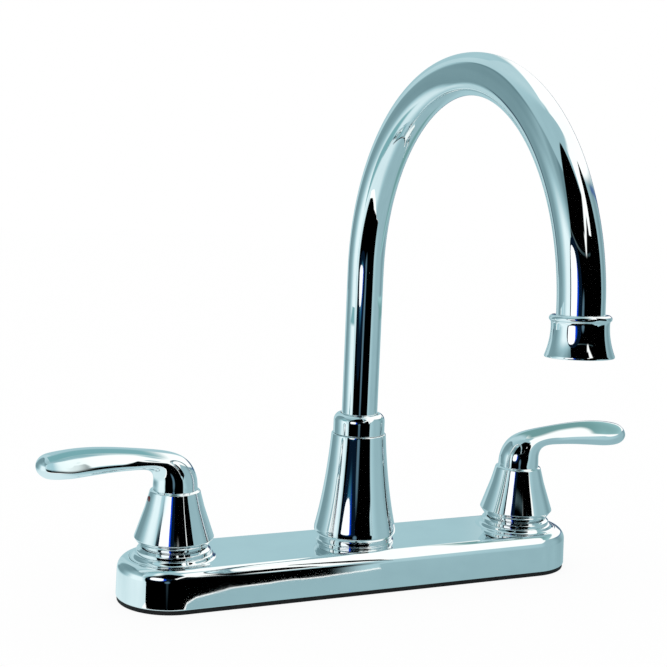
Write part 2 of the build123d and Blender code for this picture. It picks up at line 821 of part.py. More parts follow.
# Gooseneck: one bent tube, straight up, round a near half circle, and down to the outlet
flow_y = -sin(radians(bend_angle))
flow_z = cos(radians(bend_angle))
bend_end_y = -bend_radius * (1 - cos(radians(bend_angle)))
bend_end_z = riser_top + bend_radius * sin(radians(bend_angle))
collar_y = bend_end_y + outlet_straight * flow_y
collar_z = bend_end_z + outlet_straight * flow_z
outlet = Plane(origin=(0, collar_y, collar_z), x_dir=(1, 0, 0), z_dir=(0, flow_y, flow_z))
with BuildPart() as spout_tube:
    with BuildLine(Plane.YZ) as spout_path:
        Line((0, tube_foot), (0, riser_top))
        JernArc(
            start=(0, riser_top), tangent=(0, 1), radius=bend_radius, arc_size=bend_angle
        )
    with BuildSketch(Plane.XY.offset(tube_foot)):
        Circle(spout_tube_radius)
        Circle(inner_radius, mode=Mode.SUBTRACT)
    sweep(path=spout_path.wires()[0])
    with BuildSketch(outlet.offset(-outlet_straight)):
        Circle(spout_tube_radius)
        Circle(inner_radius, mode=Mode.SUBTRACT)
    extrude(amount=outlet_straight + tube_in_tip)
spout_tube.part.label = "spout_tube"
export_step(spout_tube.part, "parts/spout_tube.step")

# Outlet tip: a beaded collar and a flared skirt, brazed on and bored for the aerator
aerator_seat = 9.0
tip_collar = ((11.5, 0), (12.1, 0.5))
bead_end = (12.1, 2.5)
bead_round = 2.2
tip_neck = ((11.4, 3.1), (11.4, 4.6))
tip_flare = ((11.6, 8.4), (12.4, 12.3), (13.7, 16.2))
flare_lean = ((0, 1), (0.45, 1))
tip_lip = ((13.5, tip_length), (12.2, tip_length))
mouth_bevel = 1.2
with BuildPart() as spout_tip:
    with BuildSketch(Plane(origin=outlet.origin, x_dir=outlet.x_dir, z_dir=outlet.y_dir * -1)):
        with BuildLine():
            Polyline((spout_tube_radius, 0), *tip_collar)
            RadiusArc(tip_collar[-1], bead_end, bead_round)
            Polyline(bead_end, *tip_neck)
            Spline(tip_neck[-1], *tip_flare, tangents=flare_lean)
            Polyline(
                tip_flare[-1],
                *tip_lip,
                (aerator_radius, tip_length - mouth_bevel),
                (aerator_radius, aerator_seat),
                (inner_radius, aerator_seat),
                (inner_radius, tube_in_tip),
                (spout_tube_radius, tube_in_tip),
                (spout_tube_radius, 0),
            )
        make_face()
    revolve(axis=Axis(outlet.origin, outlet.z_dir))
spout_tip.part.label = "spout_tip"
export_step(spout_tip.part, "parts/spout_tip.step")

# Aerator: rubber washer, plastic body and a pierced stream plate
aerator_washer_bore = 7.8
washer_end = 10.2
body_bore = 8.0
body_end = tip_length - mouth_bevel
plate_radius = 8.9
plate_thick = 1.4
plate_low = body_end - plate_thick - 0.4
hole_pitch = 1.75
hole_radius = 1.1
holes_across = 5
aerator_washer = turned(ring(aerator_washer_bore, aerator_radius, aerator_seat, washer_end), outlet)
aerator_washer.part.label = "aerator_washer"
export_step(aerator_washer.part, "parts/aerator_washer.step")

aerator_body = turned(
    [
        (body_bore, washer_end),
        (aerator_radius, washer_end),
        (aerator_radius, body_end),
        (plate_radius, body_end),
        (plate_radius, plate_low),
        (body_bore, plate_low),
    ],
    outlet,
)
aerator_body.part.label = "aerator_body"
export_step(aerator_body.part, "parts/aerator_body.step")

with BuildPart() as stream_plate:
    with BuildSketch(outlet.offset(plate_low)):
        Circle(plate_radius)
        with HexLocations(hole_pitch, holes_across, holes_across):
            Circle(hole_radius, mode=Mode.SUBTRACT)
    extrude(amount=plate_thick)
stream_plate.part.label = "stream_plate"
export_step(stream_plate.part, "parts/stream_plate.step")
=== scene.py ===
import json

import bmesh
import bpy
import numpy as np
from mathutils import Matrix


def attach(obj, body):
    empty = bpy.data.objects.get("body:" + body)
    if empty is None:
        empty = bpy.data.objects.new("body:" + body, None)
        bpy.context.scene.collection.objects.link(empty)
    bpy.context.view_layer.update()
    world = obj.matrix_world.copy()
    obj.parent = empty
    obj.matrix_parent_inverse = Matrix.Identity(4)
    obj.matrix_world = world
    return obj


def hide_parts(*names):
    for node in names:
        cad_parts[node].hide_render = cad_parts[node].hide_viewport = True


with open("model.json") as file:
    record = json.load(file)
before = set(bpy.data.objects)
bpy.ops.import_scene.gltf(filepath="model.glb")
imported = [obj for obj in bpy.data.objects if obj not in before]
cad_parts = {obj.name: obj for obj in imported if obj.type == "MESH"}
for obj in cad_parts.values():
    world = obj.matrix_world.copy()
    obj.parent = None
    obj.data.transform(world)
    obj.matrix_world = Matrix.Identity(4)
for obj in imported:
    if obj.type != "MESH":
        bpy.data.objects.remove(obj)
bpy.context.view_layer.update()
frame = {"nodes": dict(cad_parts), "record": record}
scene = bpy.context.scene
scene.view_settings.view_transform = "Standard"


# Camera: it stands a little to the hot side of the faucet and looks slightly down on it. Its
# place, lens and small roll come from fitting the turned parts and the tube to the photograph.
lens_in_pixels = 1295.25
image_pixels = 667
sensor_mm = 36.0
nearest, farthest = 0.01, 20.0
yaw, pitch, roll = np.radians((24.22, 7.56, 2.31))
camera_place = (-0.293946, -0.615374, 0.224456)
ahead = np.array((np.sin(yaw) * np.cos(pitch), np.cos(yaw) * np.cos(pitch), -np.sin(pitch)))
level_right = np.array((np.cos(yaw), -np.sin(yaw), 0.0))
level_up = np.cross(level_right, ahead)
rolled_right = np.cos(roll) * level_right + np.sin(roll) * level_up
rolled_up = np.cos(roll) * level_up - np.sin(roll) * level_right
lens = bpy.data.cameras.new("camera")
lens.sensor_width = sensor_mm
lens.lens = sensor_mm * lens_in_pixels / image_pixels
lens.clip_start = nearest
lens.clip_end = farthest
camera = bpy.data.objects.new("camera", lens)
facing = Matrix([list(row) for row in np.column_stack((rolled_right, rolled_up, -ahead))])
camera.matrix_world = Matrix.Translation(camera_place) @ facing.to_4x4()
scene.collection.objects.link(camera)
scene.camera = camera


# Studio: a white floor and a white backdrop for the camera. Metal sees a pale blue-grey tent
# instead, with a bright wall at the left, a long white panel at the upper right, a dark room in
# front with one window in it, and below the sink a pale table whose front edge is lit.
floor_half = 3.0
floor_drop = 0.00005
floor_mesh = bpy.data.meshes.new("floor")
floor_mesh.from_pydata(
    [(-floor_half, -floor_half, 0), (floor_half, -floor_half, 0), (floor_half, floor_half, 0),
     (-floor_half, floor_half, 0)], [], [(0, 1, 2, 3)])
floor = bpy.data.objects.new("floor", floor_mesh)
floor.location.z = -floor_drop
floor.visible_glossy = False
scene.collection.objects.link(floor)


class Wire:
    """A node's output; arithmetic on wires and plain numbers adds Math nodes."""

    def __init__(self, tree, socket):
        self.tree = tree
        self.socket = socket

    def math(self, operation, *others):
        return self.tree.node("ShaderNodeMath", {"operation": operation}, [self, *others])[0]

    def __add__(self, other):
        return self.math("ADD", other)

    def __sub__(self, other):
        return self.math("SUBTRACT", other)

    def __mul__(self, other):
        return self.math("MULTIPLY", other)

    def __truediv__(self, other):
        return self.math("DIVIDE", other)

    def __pow__(self, other):
        return self.math("POWER", other)

    def __neg__(self):
        return self.math("MULTIPLY", -1.0)

    def __radd__(self, other):
        return self.math("ADD", other)

    def __rmul__(self, other):
        return self.math("MULTIPLY", other)

    def __rsub__(self, other):
        return self.tree.node("ShaderNodeMath", {"operation": "SUBTRACT"}, [other, self])[0]

    def step(self, low, high):
        """Zero below low, one above high, smooth between."""
        settings = {"interpolation_type": "SMOOTHSTEP"}
        return self.tree.node("ShaderNodeMapRange", settings, [self, low, high, 0.0, 1.0])[0]


class Tree:
    """A node tree of a material or the world, built by calls."""

    def __init__(self, owner):
        owner.use_nodes = True
        self.tree = owner.node_tree
        self.tree.nodes.clear()

    def node(self, kind, settings=None, inputs=None):
        """Adds a node: settings first, then its inputs by name or in order; gives its outputs."""
        made = self.tree.nodes.new(kind)
        for name, value in (settings or {}).items():
            setattr(made, name, value)
        pairs = inputs.items() if isinstance(inputs, dict) else enumerate(inputs or [])
        for key, value in pairs:
            socket = made.inputs[key]
            if isinstance(value, Wire):
                self.tree.links.new(value.socket, socket)
            elif isinstance(value, tuple) and len(value) == 3 and socket.type == "RGBA":
                socket.default_value = (*value, 1.0)
            else:
                socket.default_value = value
        return [Wire(self, socket) for socket in made.outputs if socket.enabled]

    def split(self, vector):
        """The x, y and z of a vector wire."""
        return self.node("ShaderNodeSeparateXYZ", {}, [vector])

    def place(self):
        """Object coordinates in metres, as a vector wire."""
        return self.node("ShaderNodeTexCoord")[3]

    def noise(self, size, detail, roughness, at=None):
        """Soft noise from 0 to 1 whose lumps are about size metres across."""
        inputs = {"Vector": at or self.place(), "Scale": 1.0 / size, "Detail": detail,
                  "Roughness": roughness}
        return self.node("ShaderNodeTexNoise", {}, inputs)[0]

    def mix(self, factor, one, two):
        """A colour between one and two."""
        inputs = {0: factor, 6: one, 7: two}
        return self.node("ShaderNodeMix", {"data_type": "RGBA"}, inputs)[0]

    def bump(self, height, distance):
        """A normal for a surface raised by height, from 0 to 1, times distance in metres."""
        inputs = {"Strength": 1.0, "Distance": distance, "Height": height}
        return self.node("ShaderNodeBump", {}, inputs)[0]


white_share = 0.9
floor_paint = bpy.data.materials.new("floor")
floor_tree = Tree(floor_paint)
camera_ray = floor_tree.node("ShaderNodeLightPath")[0]
floor_lit = floor_tree.node("ShaderNodeBsdfDiffuse", {}, {"Color": (0.98, 0.98, 0.98)})[0]
floor_white = floor_tree.node(
    "ShaderNodeEmission", {}, {"Color": (1.0, 1.0, 1.0), "Strength": 1.0})[0]
floor_mix = floor_tree.node(
    "ShaderNodeMixShader", {}, [camera_ray * white_share, floor_lit, floor_white])[0]
floor_tree.node("ShaderNodeOutputMaterial", {}, {"Surface": floor_mix})
floor_mesh.materials.append(floor_paint)

degrees_in_radian = 57.29578
cloth_dim, cloth_mid, cloth_lit = (0.14, 0.25, 0.28), (0.40, 0.61, 0.66), (0.86, 1.02, 1.05)
white, black = (1.12, 1.15, 1.13), (0.0, 0.0, 0.0)


def between(value, low, high, soft):
    """One where value lies between low and high, with soft edges."""
    return (value - low).step(-soft, soft) * (1 - (value - high).step(-soft, soft))


def round_spot(u, v, half_u, half_v, soft):
    """One inside the ellipse |u / a|^2 + |v / b|^2 = 1, zero outside, with a soft edge."""
    reach = (u / half_u).math("ABSOLUTE") ** 2 + (v / half_v).math("ABSOLUTE") ** 2
    return 1 - reach.step(1 - soft, 1 + soft)


def tone(tree, brightness):
    """The tent's cloth from dim at 0 through mid at one half to lit at 1."""
    return tree.mix(brightness * 2 - 1, tree.mix(brightness * 2, cloth_dim, cloth_mid), cloth_lit)


def heading(tree, x, y):
    """Degrees from straight ahead of the faucet towards the cold side: atan2(x, -y)."""
    turned_by = tree.node("ShaderNodeMath", {"operation": "ARCTAN2"}, [x, -y])[0]
    return turned_by * degrees_in_radian


def wall_level(bearing):
    """How bright the walls are by heading: bright at the left, dim at the back left and right."""
    open_front = 1 - bearing.step(-60, -20)
    left_wall = bearing.step(-152, -94) ** 1.8 * (1 - bearing.step(-84, -70) * 0.5)
    left = 0.10 * open_front + left_wall * open_front
    right = bearing.step(20, 21) * (
        0.34 + (1 - bearing.step(24, 50)) * 0.2 + bearing.step(110, 160) * 0.16)
    right = right - between(bearing, 84, 107, 14) * 0.22
    back = (1 - bearing.step(-166, -158)) * 0.5
    return left + right + back


# The tent is painted by bearing, degrees towards the cold side, and tilt, degrees above level:
# first its walls with a soft cloudiness, and a ceiling that comes down at the back left.
world = bpy.data.worlds.new("studio")
scene.world = world
sky = Tree(world)
glossy_ray = sky.node("ShaderNodeLightPath")[3]
to_sky = sky.node("ShaderNodeTexCoord")[0]
sky_x, sky_y, sky_z = sky.split(to_sky)
bearing = heading(sky, sky_x, sky_y)
tilt = sky.node("ShaderNodeMath", {"operation": "ARCSINE"}, [sky_z])[0] * degrees_in_radian

cloud_size, cloud_range = 0.35, 0.10
clouds = sky.noise(cloud_size, 2.0, 0.5, to_sky) * cloud_range - cloud_range / 2
left_shade = 1 - between(bearing, -140, -55, 12) * tilt.step(8, 26) * 0.66
walls = wall_level(bearing) * left_shade + clouds
walls = walls - round_spot(bearing + 78, tilt - 42, 24, 15, 0.9) * 0.25
ceiling_edge = 47 - ((-125 - bearing).math("MAXIMUM", 0.0) / 45) ** 4 * 29
ceiling = (tilt - ceiling_edge).step(-1.5, 1.5)
ceiling_level = 0.42 + clouds + bearing.math("ABSOLUTE").step(90, 170) * 0.18
seam = between(tilt - ceiling_edge, -5, -2.5, 1.5) * between(bearing, -175, -100, 5)
tent = tone(sky, walls * (1 - ceiling) + ceiling * ceiling_level - seam * 0.12)
back_gap = between(bearing, -165, -159, 1.5) * (1 - tilt.step(-4, 2))
tent = sky.mix(back_gap * 0.85, tent, (0.01, 0.03, 0.06))

# The long white panel at the upper right has a slanted lower edge, with a blue line below it.
panel_start = bearing.step(19.2, 20.8)
rising = (bearing - 22) * 0.75 + 10
falling = 77 - bearing * 0.55
panel = (tilt - rising.math("MINIMUM", falling)).step(-2, 3) * panel_start
panel = panel * (1 - bearing.step(143, 150))
panel_top = 1 - (tilt - bearing.step(60, 80) * 16).step(63, 70)
blue_line = between(tilt - falling, -4, -1.5, 1.0) * between(bearing, 90, 150, 6)
tent = sky.mix(blue_line * 0.7, tent, (0.02, 0.06, 0.30))
tent = sky.mix(panel * panel_top, tent, white)

# The dark room has a round top over straight sides. A white band curves up over it to the
# panel, a grey spot lies in it, and a dark blue one lies far round on the right.
arched = tilt.step(20, 22)
room_high = round_spot(bearing + 22, tilt - 12, 49, 59, 0.03) * arched * (1 - panel_start)
tent = sky.mix(room_high, tent, black)
room_right = 25 - tilt.step(1, 5) * 5
room_low = (bearing + 72).step(-1, 1) * (1 - (bearing - room_right).step(-1, 1)) * (1 - arched)
tent = sky.mix(room_low, tent, black)
above_band = tilt - (21 + (bearing + 2).math("MAXIMUM", 0.0) ** 0.62 * 2.35)
band = between(above_band, 0, 9, 1.6) * between(bearing, -7, 62, 2)
tent = sky.mix(band * panel_top, tent, white)
tent = sky.mix(round_spot(bearing + 24, tilt + 5, 5, 9, 0.9), tent, (0.10, 0.19, 0.25))
blue_spot = round_spot(bearing - 139, tilt, 12, 12, 0.5)
tent = sky.mix(blue_spot * 0.95, tent, (0.01, 0.05, 0.14))

tent_light = sky.node("ShaderNodeBackground", {}, {"Color": tent, "Strength": 1.0})[0]
plain_white = sky.node("ShaderNodeBackground", {}, {"Color": (1.0, 1.0, 1.0), "Strength": 1.0})[0]
chooser = sky.node("ShaderNodeMixShader", {}, [glossy_ray, plain_white, tent_light])[0]
sky.node("ShaderNodeOutputWorld", {}, {"Surface": chooser})


def card(name, corners):
    """A flat light or screen that only mirrors see; gives its tree to paint with."""
    mesh = bpy.data.meshes.new(name)
    mesh.from_pydata([tuple(map(float, corner)) for corner in corners], [],
                     [tuple(range(len(corners)))])
    made = bpy.data.objects.new(name, mesh)
    for unseen in ("camera", "diffuse", "transmission", "volume_scatter", "shadow"):
        setattr(made, f"visible_{unseen}", False)
    scene.collection.objects.link(made)
    cloth = bpy.data.materials.new(name)
    mesh.materials.append(cloth)
    return Tree(cloth)


def glow(tree, colour, share=1.0):
    """Ends a card's tree with a light of the given colour, clear where the share is zero."""
    clear = tree.node("ShaderNodeBsdfTransparent")[0]
    light = tree.node("ShaderNodeEmission", {}, {"Color": colour, "Strength": 1.0})[0]
    mixed = tree.node("ShaderNodeMixShader", {}, [share, clear, light])[0]
    tree.node("ShaderNodeOutputMaterial", {}, {"Surface": mixed})


def pane(distance, middle, half_side, low, high, power, count=48):
    """Corners of a rounded pane that faces the faucet from a heading and a distance. Its edge
    is |u / a|^n + |v / b|^n = 1: u = a sign(cos t) |cos t|^(2/n), and v the same with sin t."""
    swing = 2 * np.pi * np.arange(count) / count
    across = np.sign(np.cos(swing)) * np.abs(np.cos(swing)) ** (2 / power)
    along = np.sign(np.sin(swing)) * np.abs(np.sin(swing)) ** (2 / power)
    ahead_of = np.array((np.sin(np.radians(middle)), -np.cos(np.radians(middle)), 0.0))
    beside = np.array((ahead_of[1], -ahead_of[0], 0.0))
    reach_side = distance * np.tan(np.radians(half_side))
    spots = distance * ahead_of + np.outer(across * reach_side, beside)
    spots[:, 2] = (low + high) / 2 + along * (high - low) / 2
    return spots


# The window hangs in the room before a blue halo; a black screen closes the room's right side.
glow(card("window", pane(0.65, -52.0, 13.0, 0.078, 0.35, 3.0)), (1.15, 1.18, 1.2))
halo = card("window_halo", pane(0.66, -47.0, 24.0, 0.0, 0.40, 2.0))
halo_x, halo_y, halo_z = halo.split(halo.place())
halo_side = heading(halo, halo_x, halo_y) + 47.5
halo_level = round_spot(halo_side, halo_z - 0.20, 14.0, 0.145, 0.3)
halo_blue = halo.mix(halo_side.step(3, 9), (0.03, 0.16, 0.26), (0.005, 0.07, 0.75))
glow(halo, halo.mix(halo_level * halo_level, (0.002, 0.008, 0.02), halo_blue))
glow(card("side_screen", [(0.117, -0.24, 0.13), (1.2, -2.46, 0.13), (1.2, -2.46, 1.2),
                          (0.16, -0.33, 0.46), (0.117, -0.24, 0.38)]), black)


def sheet_over(left, right, front, back, low, high):
    """Corners of a rectangle that rises from low at its front to high at its back."""
    return [(left, front, low), (right, front, low), (right, back, high), (left, back, high)]


# Small cards near the handles: a pale one before the hot lever, a soft shade over each handle,
# and a black screen further out.
pale = card("pale_card", sheet_over(-0.31, -0.125, -0.048, -0.03, 0.055, 0.15))
pale_x, _, pale_z = pale.split(pale.place())
pale_colour = pale.mix(pale_x.step(-0.175, -0.148), (0.42, 0.66, 0.72), (0.95, 1.08, 1.08))
pale_colour = pale.mix(pale_x.step(-0.29, -0.21), (0.7, 0.88, 0.92), pale_colour)
pale_ends = (1 - pale_x.step(-0.150, -0.128)) * pale_x.step(-0.305, -0.26)
glow(pale, pale_colour, pale_ends * pale_z.step(0.058, 0.078))

shade_z = 0.13
hot_shade = card("hot_shade", sheet_over(-0.18, -0.07, -0.03, 0.06, shade_z, shade_z))
hot_x, hot_y, _ = hot_shade.split(hot_shade.place())
hot_depth = hot_y.step(-0.024, -0.002) * (1 - hot_y.step(0.03, 0.056))
glow(hot_shade, (0.21, 0.44, 0.47), hot_depth * (1 - hot_x.step(-0.10, -0.075)))
cold_shade = card("cold_shade", sheet_over(0.10, 0.26, -0.10, 0.11, shade_z, shade_z))
cold_x, cold_y, _ = cold_shade.split(cold_shade.place())
cold_front = cold_y + 0.014 + cold_x.step(0.165, 0.205) * 0.07
cold_colour = cold_shade.mix(cold_x.step(0.17, 0.24), (0.18, 0.36, 0.36), (0.34, 0.58, 0.60))
cold_depth = cold_front.step(-0.012, 0.012) * (1 - cold_y.step(0.07, 0.11))
glow(cold_shade, cold_colour,
     cold_depth * cold_x.step(0.10, 0.125) * (1 - cold_x.step(0.235, 0.26)))
glow(card("front_screen", [(0.05, -0.39, 0.12), (0.13, -0.39, 0.12), (0.13, -0.39, 0.31),
                           (0.05, -0.39, 0.31)]), black)

# The table lies below the sink, as bright as the walls far out and dimmer near the faucet. Its
# lit front edge is a narrow strip that widens towards the hot side.
table_z = -0.1
table_front = [(-2.5, -0.81), (-0.45, -0.14), (-0.3, -0.21), (-0.15, -0.32), (-0.07, -0.350),
               (0.0, -0.368), (0.025, -0.380), (0.05, -0.3925), (0.09, -0.3965), (0.13, -0.3975),
               (0.16, -0.400), (0.19, -0.4055), (1.1, -2.25)]
table_back = [(2.5, -2.25), (2.5, 2.5), (-2.5, 2.5)]
table = card("table", [(x, y, table_z) for x, y in table_front + table_back])
table_x, table_y, _ = table.split(table.place())
far_share = (table_x * table_x + table_y * table_y).math("SQRT").step(0.35, 0.9)
near_level = 0.34 + (1 - table_x.step(-0.16, 0.02)) * 0.5
table_level = wall_level(heading(table, table_x, table_y)) * far_share
table_level = table_level + near_level * (1 - far_share)
table_level = table_level + table.noise(0.11, 3.0, 0.6) * 0.12 - 0.06
glow(table, tone(table, table_level))

edge_z = table_z + 0.001
edge_width, edge_flare = 0.003, 0.045
edge_out = [(x, y, edge_z) for x, y in table_front[1:-1]]
edge_in = [(x, y + edge_width + edge_flare * min(1.0, max(0.0, -0.02 - x) / 0.1), edge_z)
           for x, y in reversed(table_front[1:-1])]
glow(card("table_edge", edge_out + edge_in), white)


# Deck cover: a pressed brass shell with fully rounded ends, drafted sides and a soft top edge,
# chrome plated. A low round boss stands under each handle, and it is open below.
mm = 0.001
weld_distance = 2e-7
deck_length = 261.0
deck_width = 55.4
deck_top = 22.2
deck_edge = 6.0
deck_draft = np.tan(np.radians(1.5))
deck_wall = 2.0
deck_ceiling = deck_top - deck_wall
gasket_thick = 2.3
half_centres = 101.6
boss_radius = 21.0
boss_top = 24.6
boss_field = 24.2
neck_hole = 12.7
shoulder_hole = 15.7


def skin(name, grids, body, paint, node):
    """Joins point grids (rows, columns, xyz in mm), whose rows run once round, into one closed,
    smooth mesh that rides on a body and stands for a CAD node."""
    vertices, faces, first = [], [], 0
    for grid in grids:
        rows, columns = grid.shape[:2]
        index = first + np.arange(rows * columns).reshape(rows, columns)
        index = np.concatenate((index, index[:, :1]), axis=1)
        quads = np.stack((index[:-1, :-1], index[:-1, 1:], index[1:, 1:], index[1:, :-1]), axis=-1)
        vertices.append(grid.reshape(-1, 3))
        faces.append(quads.reshape(-1, 4))
        first += rows * columns
    mesh = bpy.data.meshes.new(name)
    mesh.from_pydata(np.concatenate(vertices) * mm, [], np.concatenate(faces).tolist())
    work = bmesh.new()
    work.from_mesh(mesh)
    bmesh.ops.remove_doubles(work, verts=work.verts, dist=weld_distance)
    bmesh.ops.recalc_face_normals(work, faces=work.faces)
    work.to_mesh(mesh)
    work.free()
    mesh.polygons.foreach_set("use_smooth", np.ones(len(mesh.polygons), bool))
    piece = bpy.data.objects.new(name, mesh)
    scene.collection.objects.link(piece)
    mesh.materials.append(paint)
    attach(piece, body)
    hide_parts(node)


def rounded(corners, closed=True):
    """A profile with its corners rounded: each corner is (u, v, radius). The arc of radius r
    touches both sides r / tan(angle / 2) from the corner; a point stands just off each arc."""
    hold, arc_step = 0.12, 7.5
    count = len(corners)
    points = []
    for i, (u, v, radius) in enumerate(corners):
        here = np.array((u, v), float)
        if radius == 0 or (not closed and i in (0, count - 1)):
            points.append(here)
            continue
        before = np.array(corners[i - 1][:2], float) - here
        after = np.array(corners[(i + 1) % count][:2], float) - here
        reach_in, reach_out = np.hypot(*before), np.hypot(*after)
        before, after = before / reach_in, after / reach_out
        inside = np.arccos(np.clip(before @ after, -1, 1))
        cut = radius / np.tan(inside / 2)
        middle = (before + after) / np.hypot(*(before + after))
        centre = here + middle * radius / np.sin(inside / 2)
        start, end = here + before * cut - centre, here + after * cut - centre
        turn = np.arctan2(start[0] * end[1] - start[1] * end[0], start @ end)
        steps = max(2, int(np.ceil(abs(np.degrees(turn)) / arc_step)))
        angles = turn * np.arange(steps + 1) / steps
        arc = centre + np.stack((
            start[0] * np.cos(angles) - start[1] * np.sin(angles),
            start[0] * np.sin(angles) + start[1] * np.cos(angles)), axis=1)
        if cut + hold < reach_in * 0.5:
            points.append(here + before * (cut + hold))
        points.extend(arc)
        if cut + hold < reach_out * 0.5:
            points.append(here + after * (cut + hold))
    return np.array(points)


def racetrack(length, width, cuts, straight_points=45, bow_points=73):
    """Points and outward normals round a slot's outline, anticlockwise from the first cut on
    the front side: two straights, with points at the given x cuts too, and two half circles."""
    radius = width / 2
    reach = length / 2 - radius
    straight = np.unique(np.concatenate((np.linspace(-reach, reach, straight_points), cuts)))
    bow = np.radians(np.linspace(-90, 90, bow_points))[1:-1]
    front = np.stack((straight, np.full_like(straight, -radius)), axis=1)
    right_end = np.stack((reach + radius * np.cos(bow), radius * np.sin(bow)), axis=1)
    points = np.concatenate((front, right_end, -front, -right_end))
    bow_out = np.stack((np.cos(bow), np.sin(bow)), axis=1)
    normals = np.concatenate((np.tile((0.0, -1.0), (len(straight), 1)), bow_out,
                              np.tile((0.0, 1.0), (len(straight), 1)), -bow_out))
    return points, normals


def carried_round(line, outward, profile):
    """A profile of (inset, z) rows carried round an outline: each row is the outline less its
    outward normals times the inset, at height z."""
    flat = line - outward * profile[:, 0, None, None]
    return np.concatenate((flat, profile[:, 1, None, None] + 0 * flat[..., :1]), axis=-1)


def cell(outline, low, high, hub, profile, level, cross_points=41, hold=0.12):
    """A flat field from a round hole to the part of the outline between x = low and x = high.
    Each ray runs from the hub; the profile's (radius, z) rows come first, then the field."""
    inside = (outline[:, 0] >= low - 1e-6) & (outline[:, 0] <= high + 1e-6)
    reach = outline[:, 1].max()
    sides = [outline[inside]]
    for x in (low, high):
        if abs(x) < np.abs(outline[:, 0]).max() - 1:
            across = np.linspace(-reach, reach, cross_points)[1:-1]
            sides.append(np.stack((np.full_like(across, x), across), axis=1))
    edge = np.concatenate(sides)
    around = np.arctan2(edge[:, 1], edge[:, 0] - hub)
    order = np.argsort(around)
    edge, around = edge[order], around[order]
    ray = np.stack((np.cos(around), np.sin(around)), axis=1)
    rows = [np.column_stack((hub + r * ray[:, 0], r * ray[:, 1], np.full(len(ray), z)))
            for r, z in profile]
    start = rows[-1][:, :2]
    span = np.hypot(*(edge - start).T)[:, None]
    for share in (hold / span, 0.5 + 0 * span, 1 - hold / span, 1 + 0 * span):
        flat = start + (edge - start) * share
        rows.append(np.column_stack((flat, np.full(len(flat), level))))
    return np.array(rows)


chrome = bpy.data.materials.new("chrome_plate")
plate = Tree(chrome)
smudge = plate.noise(0.021, 4.0, 0.6)
polish = plate.noise(0.0007, 2.0, 0.5)
waves = plate.noise(0.016, 1.0, 0.4)
chrome_colour = plate.mix(smudge.step(0.35, 0.8), (0.90, 0.925, 0.93), (0.86, 0.885, 0.895))
chrome_rough = 0.018 + smudge.step(0.5, 0.85) * 0.02 + polish * 0.006
metal = plate.node("ShaderNodeBsdfPrincipled", {}, {
    "Base Color": chrome_colour, "Metallic": 1.0, "Roughness": chrome_rough,
    "Normal": plate.bump(waves, 0.000012)})
plate.node("ShaderNodeOutputMaterial", {}, {"Surface": metal[0]})

deck_half = deck_length / 2
field_half = half_centres / 2
fields = ((-deck_half, -field_half, -half_centres), (-field_half, field_half, 0.0),
          (field_half, deck_half, half_centres))
outline, outward = racetrack(deck_length, deck_width, (-field_half, field_half))
drafted = (deck_top - gasket_thick) * deck_draft
shell_side = rounded([
    (deck_wall, gasket_thick, 0.4), (0.0, gasket_thick, 0.5), (drafted, deck_top, deck_edge),
    (12.0, deck_top, 0)], closed=False)[1:-1]
shell_side = shell_side[shell_side[:, 0] <= deck_edge + drafted + 0.02]
shell_inside = rounded([
    (deck_wall, gasket_thick, 0), (deck_wall + 1.4, deck_ceiling, 1.0), (9.0, deck_ceiling, 0)],
    closed=False)[:-1]
side_grid = carried_round(outline, outward, shell_side)
inside_grid = carried_round(outline, outward, shell_inside)
rim_grid = np.array([side_grid[0], inside_grid[0]])
boss = rounded([
    (shoulder_hole, deck_ceiling, 0), (shoulder_hole, deck_top, 0), (neck_hole, deck_top, 0),
    (neck_hole, boss_top, 0.3), (boss_radius - 1.2, boss_top, 1.4),
    (boss_radius + 0.2, deck_top, 2.2), (28.0, deck_top, 0)], closed=False)[:-1]
boss = boss[boss[:, 0] < boss_field]
centre_hole = [(neck_hole, deck_ceiling), (neck_hole, deck_top - 0.2), (neck_hole + 0.2, deck_top)]
top_line = outline - outward * shell_side[-1, 0]
ceiling_line = outline - outward * shell_inside[-1, 0]
deck_grids = [side_grid, inside_grid, rim_grid]
for (low, high, hub), profile in zip(fields, (boss, centre_hole, boss)):
    deck_grids.append(cell(top_line, low, high, hub, profile, deck_top))
    hole_foot = [(profile[0][0], deck_ceiling)]
    deck_grids.append(cell(ceiling_line, low, high, hub, hole_foot, deck_ceiling))
skin("deck_shell", deck_grids, "base", chrome, "deck_cover")


# Gasket: a black rubber sheet under the cover, cut a hair smaller than its rim. Round holes let
# the two shanks through.
rubber = bpy.data.materials.new("black_rubber")
rub = Tree(rubber)
rubber_grain = rub.noise(0.0006, 3.0, 0.6)
rubber_dust = rub.noise(0.012, 3.0, 0.6).step(0.45, 0.8)
rubber_colour = rub.mix(rubber_dust * 0.5, (0.010, 0.010, 0.011), (0.030, 0.030, 0.030))
rubber_body = rub.node("ShaderNodeBsdfPrincipled", {}, {
    "Base Color": rubber_colour, "Roughness": 0.55 + rubber_grain * 0.25,
    "Specular IOR Level": 0.2, "Normal": rub.bump(rubber_grain, 0.00003)})
rub.node("ShaderNodeOutputMaterial", {}, {"Surface": rubber_body[0]})

